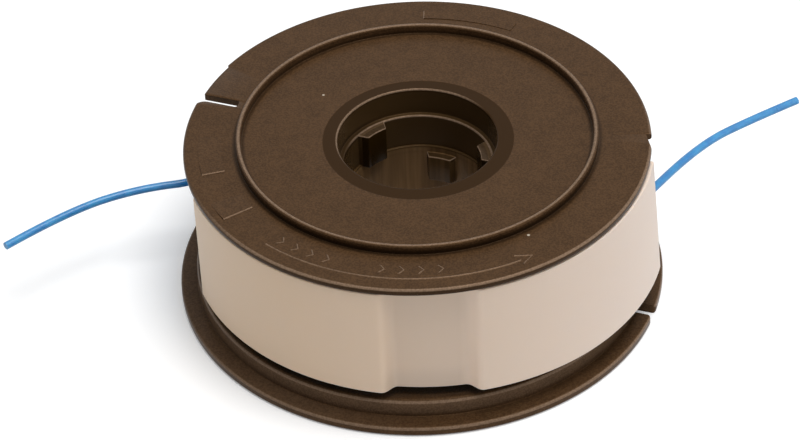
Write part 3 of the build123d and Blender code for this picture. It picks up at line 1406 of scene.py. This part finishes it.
@dataclass
class FlangeMarks:
    """Raised marks of the upper flange: panels, a direction arrow and its chevrons, no lettering."""

    top: float
    chevron_radius: float = 37.5
    chevron_reach: float = 1.1
    chevron_depth: float = 0.95
    chevron_stroke: float = 0.45
    chevron_height: float = 0.14
    chevron_rooted: float = 0.1
    chevron_rows: tuple[tuple[float, float, int], ...] = ((-131.8, 4.9, 4), (-101.6, 5.3, 4))
    arrow_radius: float = 39.8
    arrow_azimuths: Span = (-134.0, -64.5)
    arrow_steps: int = 70
    arrow_head: tuple[Span, ...] = ((38.2, -65.2), (39.7, -61.0), (40.9, -64.6))
    panels: tuple[RaisedPanel, ...] = (
        RaisedPanel(radii=(36.0, 40.2), azimuths=(176.0, 192.4), heights=(0.02, 0.2)),
        RaisedPanel(radii=(35.2, 41.2), azimuths=(204.0, 211.5), heights=(0.0, 0.2)),
        RaisedPanel(radii=(36.9, 39.4), azimuths=(59.5, 86.5), heights=(0.1, 0.14)),
    )

    def chevron(self) -> bpy.types.Object:
        """Builds one chevron at azimuth 0, pointing anticlockwise.

        Returns:
            The chevron, with a painted highlight on its top.
        """
        middle, reach = self.chevron_radius, self.chevron_reach
        back, tip = -self.chevron_depth / 2, self.chevron_depth / 2
        plan = [(middle - reach, back), (middle, tip), (middle + reach, back)]
        plan += [(radius, along + self.chevron_stroke) for radius, along in reversed(plan)]
        outline = [Vector(point) for point in plan]
        narrow = grown(outline, -self.chevron_height)
        levels = (outline, -self.chevron_rooted), (outline, 0), (narrow, self.chevron_height)
        return paint_highlight(prism("chevron", *levels), range(2 * len(outline), 3 * len(outline)))

    def build(self, material: bpy.types.Material) -> bpy.types.Object:
        """Builds and dresses all the marks.

        Args:
            material: the moulding's own plastic.

        Returns:
            The marks as one object.
        """
        row = RadialRow(material)
        pieces = []
        for start, step, count in self.chevron_rows:
            pieces.append(row.repeat(self.chevron(), count, start, step, self.top))
        shaft = [(self.arrow_radius, a) for a in spaced(*self.arrow_azimuths, self.arrow_steps)]
        pieces += [Ridge(path).build(self.top) for path in (shaft, self.arrow_head)]
        pieces += [panel.build(self.top) for panel in self.panels]
        marks = join("flange_marks", pieces)
        dress(marks, material, Crease.MOULDED)
        return marks


@dataclass
class LineWinding:
    """One roll of line in its chamber, with layers missing above its full turns."""

    node: str
    floor: float
    full_turns: int
    missing_layers: int
    tail_azimuth: float
    turns: int = 7
    drum_radius: float = 32.8
    winding_radius: float = 39.25
    line_diameter: float = 1.5
    clearance: float = 0.1
    pitch: float = 1.6857
    nesting_angle: float = 60.0
    groove: float = 0.45
    ridge_steps: int = 6
    core_inset: float = 0.75
    core_segments: int = 144
    points_in_turn: int = 120

    def height(self, turn: float) -> float:
        """Height of a turn's middle, counted from 0 at the chamber's floor."""
        return self.floor + self.clearance + (turn + 0.5) * self.pitch

    @property
    def tail_height(self) -> float:
        """Height of the last full turn, from which the tail leaves."""
        return self.height(self.full_turns - 1)

    def crest(self, missing: int) -> float:
        """Outer radius where a number of layers is missing, each layer lying between turns below."""
        rise = math.sin(math.radians(self.nesting_angle))
        return self.winding_radius - missing * self.line_diameter * rise

    def missing(self) -> list[int]:
        """Layers missing at each turn, from the chamber's floor up."""
        above = [max(turn - self.full_turns + 1, 0) for turn in range(self.turns)]
        return [min(layers, self.missing_layers) for layers in above]

    def core(self) -> bpy.types.Object:
        """Builds the inner turns as one ridged ring.

        Returns:
            The ring.
        """
        inner = self.drum_radius + self.clearance
        outline = [Vector((inner, self.height(-0.5)))]
        for turn, missing in enumerate(self.missing()):
            crest = self.crest(missing) - self.core_inset
            for share in spaced(-0.5, 0.5, self.ridge_steps):
                outline.append(Vector((crest - self.groove * (2 * share) ** 2, self.height(turn + share))))
        outline.append(Vector((inner, self.height(self.turns - 0.5))))
        return turned(self.node + "_core", outline, self.core_segments)

    def build(self, winder: WoundLayer, material: bpy.types.Material) -> bpy.types.Object:
        """Builds and dresses the winding; its full turns end where the tail leaves.

        Args:
            winder: tree that winds a layer.
            material: the line's finish.

        Returns:
            The winding, standing for its CAD node.
        """
        pieces = [self.core()]
        first = 0
        for missing, stretch in groupby(self.missing()):
            past = first + len(list(stretch))
            low = self.height(first if first == 0 else first - 0.5)
            high = self.height(past - 1 if first == 0 or past == self.turns else past - 0.5)
            rounds = (high - low) / self.pitch
            values = {
                "Turns": rounds,
                "Radius": (self.crest(missing) - self.line_diameter / 2) * MM,
                "Rise": (high - low) * MM,
                "Start Height": low * MM,
                "Start Azimuth": math.radians(self.tail_azimuth - 360 * rounds),
                "Line Radius": self.line_diameter / 2 * MM,
                "Points In Turn": self.points_in_turn,
                "Material": material,
            }
            pieces.append(winder.shape(mesh_object(self.node + "_layer", [], []), values))
            first = past
        winding = join(self.node + "_turns", pieces)
        dress(winding, material, Crease.SMOOTH)
        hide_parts(self.node)
        return winding


@dataclass
class LineTail:
    """Free end of line that leaves a winding."""

    node: str
    route: Sequence[Span]
    height: float
    length: float
    diameter: float = 1.5

    def build(self, material: bpy.types.Material) -> bpy.types.Object:
        """Args:
            material: the line's finish.

        Returns:
            The curve, standing for its CAD node.
        """
        name = self.node + "_curve"
        places = [Vector((*point, self.height)) * MM for point in self.route]
        curve = bpy.data.curves.new(name, "CURVE")
        curve.dimensions = "3D"
        curve.bevel_depth = self.diameter / 2 * MM
        curve.bevel_resolution = 4
        curve.use_fill_caps = True
        curve.resolution_u = 16
        spline = curve.splines.new("NURBS")
        spline.points.add(len(places) - 1)
        for point, place in zip(spline.points, places):
            point.co = (*place, 1.0)
        spline.order_u = 3
        spline.use_endpoint_u = True
        curve.materials.append(material)
        tail = placed(name, curve)
        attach(tail, ROOT)
        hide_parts(self.node)
        self.diameter * MM
        return tail


@dataclass(frozen=True)
class BandLevel:
    """Plan of the band at one height: its off-axis circles and where its right end stands."""

    height: float
    centre: Span
    radius: float
    floor_radius: float
    right_azimuth: float

    def point(self, radius: float, azimuth: float) -> Vector:
        """Point of one of the level's circles.

        Args:
            radius: the circle's radius about the level's centre.
            azimuth: where the point is seen from the spool's axis.

        Returns:
            The point in plan.
        """
        ray = polar(1, azimuth).to_2d()
        centre = Vector(self.centre)
        along = centre.dot(ray)
        return ray * (along + math.sqrt(radius**2 - centre.length_squared + along**2))


@dataclass
class RetainingBand:
    """The milky strip round the front, with a recess in its middle."""

    bottom: BandLevel
    top: BandLevel
    thickness: float = 0.8
    left_azimuth: float = -162.5
    recess_azimuth: float = -88.9
    recess_width: float = 12.0
    recess_side: float = 3.3
    edge: float = 0.26
    edge_steps: int = 4
    arc_steps: int = 70
    bend_steps: int = 16

    def bend(self, start: Vector, start_azimuth: float, end: Vector, end_azimuth: float) -> Ring:
        """S-shaped side of the recess.

        Args:
            start: first point.
            start_azimuth: azimuth of the first point.
            end: last point.
            end_azimuth: azimuth of the last point.

        Returns:
            Points from the first to just before the last.
        """
        handle = self.recess_side / 2
        first = start + polar(handle, start_azimuth + 90).to_2d()
        second = end - polar(handle, end_azimuth + 90).to_2d()
        points = []
        for t in spaced(0, 1, self.bend_steps)[:-1]:
            s = 1 - t
            points.append(s**3 * start + 3 * s * s * t * first + 3 * s * t * t * second + t**3 * end)
        return points

    def skin(self, level: BandLevel, inset: float) -> Ring:
        """Points of one face of the strip at a level, from left to right.

        Args:
            level: plan at this height.
            inset: how far the face lies inside the outer one.

        Returns:
            Plan points, the same number at every level and inset.
        """
        slope = math.atan2(level.radius - level.floor_radius, self.recess_side)
        spread = math.degrees(inset * math.tan(slope / 2) / level.floor_radius)
        half = math.degrees(self.recess_width / 2 / level.floor_radius) + spread
        side = math.degrees(self.recess_side / level.floor_radius)
        floor_left, floor_right = self.recess_azimuth - half, self.recess_azimuth + half
        lip_left, lip_right = floor_left - side, floor_right + side
        outer, floor = level.radius - inset, level.floor_radius - inset
        foot_left, foot_right = level.point(floor, floor_left), level.point(floor, floor_right)
        left, right = level.point(outer, lip_left), level.point(outer, lip_right)
        points = [level.point(outer, a) for a in spaced(self.left_azimuth, lip_left, self.arc_steps)[:-1]]
        points += self.bend(left, lip_left, foot_left, floor_left)
        points += [level.point(floor, a) for a in spaced(floor_left, floor_right, self.bend_steps)[:-1]]
        points += self.bend(foot_right, floor_right, right, lip_right)
        points += [level.point(outer, a) for a in spaced(lip_right, level.right_azimuth, self.arc_steps)]
        return points

    def build(self, finish: BandFinish) -> bpy.types.Object:
        """Builds and dresses the band.

        Args:
            finish: its plastic.

        Returns:
            The band, standing for its CAD node.
        """
        tall = self.top.height - self.bottom.height
        corners = [(0, 0), (self.thickness, 0), (self.thickness, tall), (0, tall)]
        section = rounded([(x, y, self.edge) for x, y in corners], self.edge_steps)
        section = supported(section, near=0.15, longest=1.0)
        low_out, low_in = (self.skin(self.bottom, inset) for inset in (0.0, self.thickness))
        high_out, high_in = (self.skin(self.top, inset) for inset in (0.0, self.thickness))
        rings = []
        for station in zip(low_out, low_in, high_out, high_in):
            ring = []
            for across, up in section:
                outer = station[0].lerp(station[2], up / tall)
                inner = station[1].lerp(station[3], up / tall)
                place = outer.lerp(inner, across / self.thickness)
                ring.append(Vector((place.x, place.y, self.bottom.height + up)))
            rings.append(ring)
        band = loft("retaining_band_strip", rings)
        material = finish.material(self.bottom.height, low_out[0].x, low_out[-1].x)
        dress(band, material, Crease.SMOOTH)
        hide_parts("retaining_band")
        return band


@dataclass(frozen=True)
class PhotoCamera:
    """Camera at the photograph's place, aimed from the upper flange's centre."""

    lens: float = 150.86
    sensor: float = 36.0
    distance: float = 614.84
    elevation: float = 39.509
    roll: float = -2.3416
    aside: float = -3.122
    above: float = -15.094
    nearest: float = 10.0

    def build(self, height: float) -> bpy.types.Object:
        """Places the camera.

        Args:
            height: height of the upper flange's top face in millimetres.

        Returns:
            The camera, made the scene's own.
        """
        tilt = math.radians(self.elevation)
        turn = math.radians(self.roll)
        back = Vector((0, -math.cos(tilt), math.sin(tilt)))
        level = Vector((1, 0, 0))
        rise = back.cross(level)
        right = math.cos(turn) * level + math.sin(turn) * rise
        up = math.cos(turn) * rise - math.sin(turn) * level
        eye = right * self.aside + up * self.above + back * self.distance + Vector((0, 0, height))
        data = bpy.data.cameras.new("photo_camera")
        data.lens = self.lens
        data.sensor_width = self.sensor
        data.sensor_fit = "HORIZONTAL"
        data.clip_start = self.nearest * MM
        camera = placed("photo_camera", data)
        pose = Matrix((right, up, back)).transposed().to_4x4()
        camera.matrix_world = Matrix.Translation(eye * MM) @ pose
        bpy.context.scene.camera = camera
        return camera


@dataclass(frozen=True)
class Softbox:
    """Large soft lamp aimed at the spool, with its place and size in metres."""

    name: str
    place: Corner
    size: Span
    power: float

    def build(self, aim: Corner) -> bpy.types.Object:
        """Places the lamp.

        Args:
            aim: point that it faces, in metres.

        Returns:
            The lamp.
        """
        data = bpy.data.lights.new(self.name, "AREA")
        data.shape = "RECTANGLE"
        data.size, data.size_y = self.size
        data.energy = self.power
        lamp = placed(self.name, data)
        lamp.location = self.place
        lamp.rotation_euler = (Vector(aim) - Vector(self.place)).to_track_quat("-Z", "Y").to_euler()
        return lamp


@dataclass(frozen=True)
class Studio:
    """Pale floor, soft lamps and a plain surround that is white wherever it is seen."""

    floor_size: float = 6000.0
    floor_colour: Colour = (0.9, 0.9, 0.9)
    floor_lift: Colour = (0.2, 0.2, 0.2)
    surround: float = 0.21
    aim: Corner = (0.0, 0.0, 0.02)
    lamps: tuple[Softbox, ...] = (
        Softbox("overhead_softbox", place=(0.22, -0.08, 1.27), size=(0.80, 0.70), power=15.5),
        Softbox("right_softbox", place=(1.15, -0.45, 0.60), size=(1.0, 0.8), power=3.2),
    )

    def floor(self) -> bpy.types.Object:
        """Returns:
            The floor.
        """
        half = self.floor_size / 2
        corners = [Vector((x * half, y * half, 0)) for x, y in ((-1, -1), (1, -1), (1, 1), (-1, 1))]
        floor = mesh_object("studio_floor", corners, [[0, 1, 2, 3]])
        tree = ShaderTree(bpy.data.materials.new("studio_floor_pale"))
        inputs = {
            "Base Color": (*self.floor_colour, 1.0),
            "Roughness": 0.9,
            "Specular IOR Level": 0.0,
            "Emission Color": tree.blend(tree.seen(), (0.0, 0.0, 0.0), self.floor_lift),
            "Emission Strength": 1.0,
        }
        floor.data.materials.append(tree.finish(inputs))
        return floor

    def world(self) -> bpy.types.World:
        """Makes the surround: white where it is seen or mirrored, dimmer as a source of light.

        Returns:
            The world, made the scene's own.
        """
        world = bpy.data.worlds.new("plain_surround")
        tree = ShaderTree(world)
        strength = self.surround + tree.seen() * (1.0 - self.surround)
        light = tree.node("ShaderNodeBackground", {"Color": (1, 1, 1, 1), "Strength": strength})
        tree.node("ShaderNodeOutputWorld", {0: light.outputs[0]})
        bpy.context.scene.world = world
        return world

    def build(self) -> None:
        """Builds the floor, the world and the lamps."""
        self.floor()
        self.world()
        for lamp in self.lamps:
            lamp.build(self.aim)
        bpy.context.scene.view_settings.view_transform = "Standard"


@dataclass
class SpoolScene:
    """The whole dressed spool."""

    pieces: list[bpy.types.Object] = field(default_factory=list)

    def windings(self, moulding: SpoolMoulding) -> None:
        """Builds both rolls of line and their tails.

        Args:
            moulding: the moulding that they are wound on.
        """
        line = LineFinish().material()
        winder = WoundLayer()
        upper = LineWinding(
            "upper_winding", moulding.divider_high, full_turns=3, missing_layers=3, tail_azimuth=-35.2
        )
        lower = LineWinding(
            "lower_winding", moulding.lower_step_height, full_turns=6, missing_layers=1, tail_azimuth=145.0
        )
        self.pieces += [upper.build(winder, line), lower.build(winder, line)]
        upper_route = [(31.46, -22.19), (40.97, -8.71), (53.16, 6.24), (62.70, 12.72), (72.24, 18.24)]
        lower_route = [(-31.54, 22.08), (-38.76, 11.76), (-53.00, 10.00), (-66.10, 3.90), (-77.00, -5.40)]
        for tail in (
            LineTail("upper_line_tail", upper_route, upper.tail_height, length=58.2),
            LineTail("lower_line_tail", lower_route, lower.tail_height, length=54.9),
        ):
            self.pieces.append(tail.build(line))

    def build(self) -> None:
        """Builds every piece in order on the loaded frame."""
        spool_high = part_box("spool")[1]
        moulding = SpoolMoulding(rim_radius=spool_high.x / MM, ring_top=spool_high.z / MM)
        body = moulding.build(MouldingFinish())
        self.pieces += [body, FlangeMarks(moulding.top).build(body.data.materials[0])]
        self.windings(moulding)
        low, high = (corner.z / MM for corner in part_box("retaining_band"))
        band = RetainingBand(
            BandLevel(low, centre=(1.37, 1.31), radius=44.46, floor_radius=42.27, right_azimuth=-13.5),
            BandLevel(high, centre=(0.25, 0.85), radius=43.43, floor_radius=41.52, right_azimuth=-10.2),
        )
        self.pieces.append(band.build(BandFinish()))
        Studio().build()
        PhotoCamera().build(moulding.top)


def main() -> None:
    """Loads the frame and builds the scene."""
    logging.basicConfig(level=logging.INFO)
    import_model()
    scene = SpoolScene()
    scene.build()
    for piece in scene.pieces:
        LOG.info("%s on %s", piece.name, ROOT)


if __name__ == "__main__":
    main()
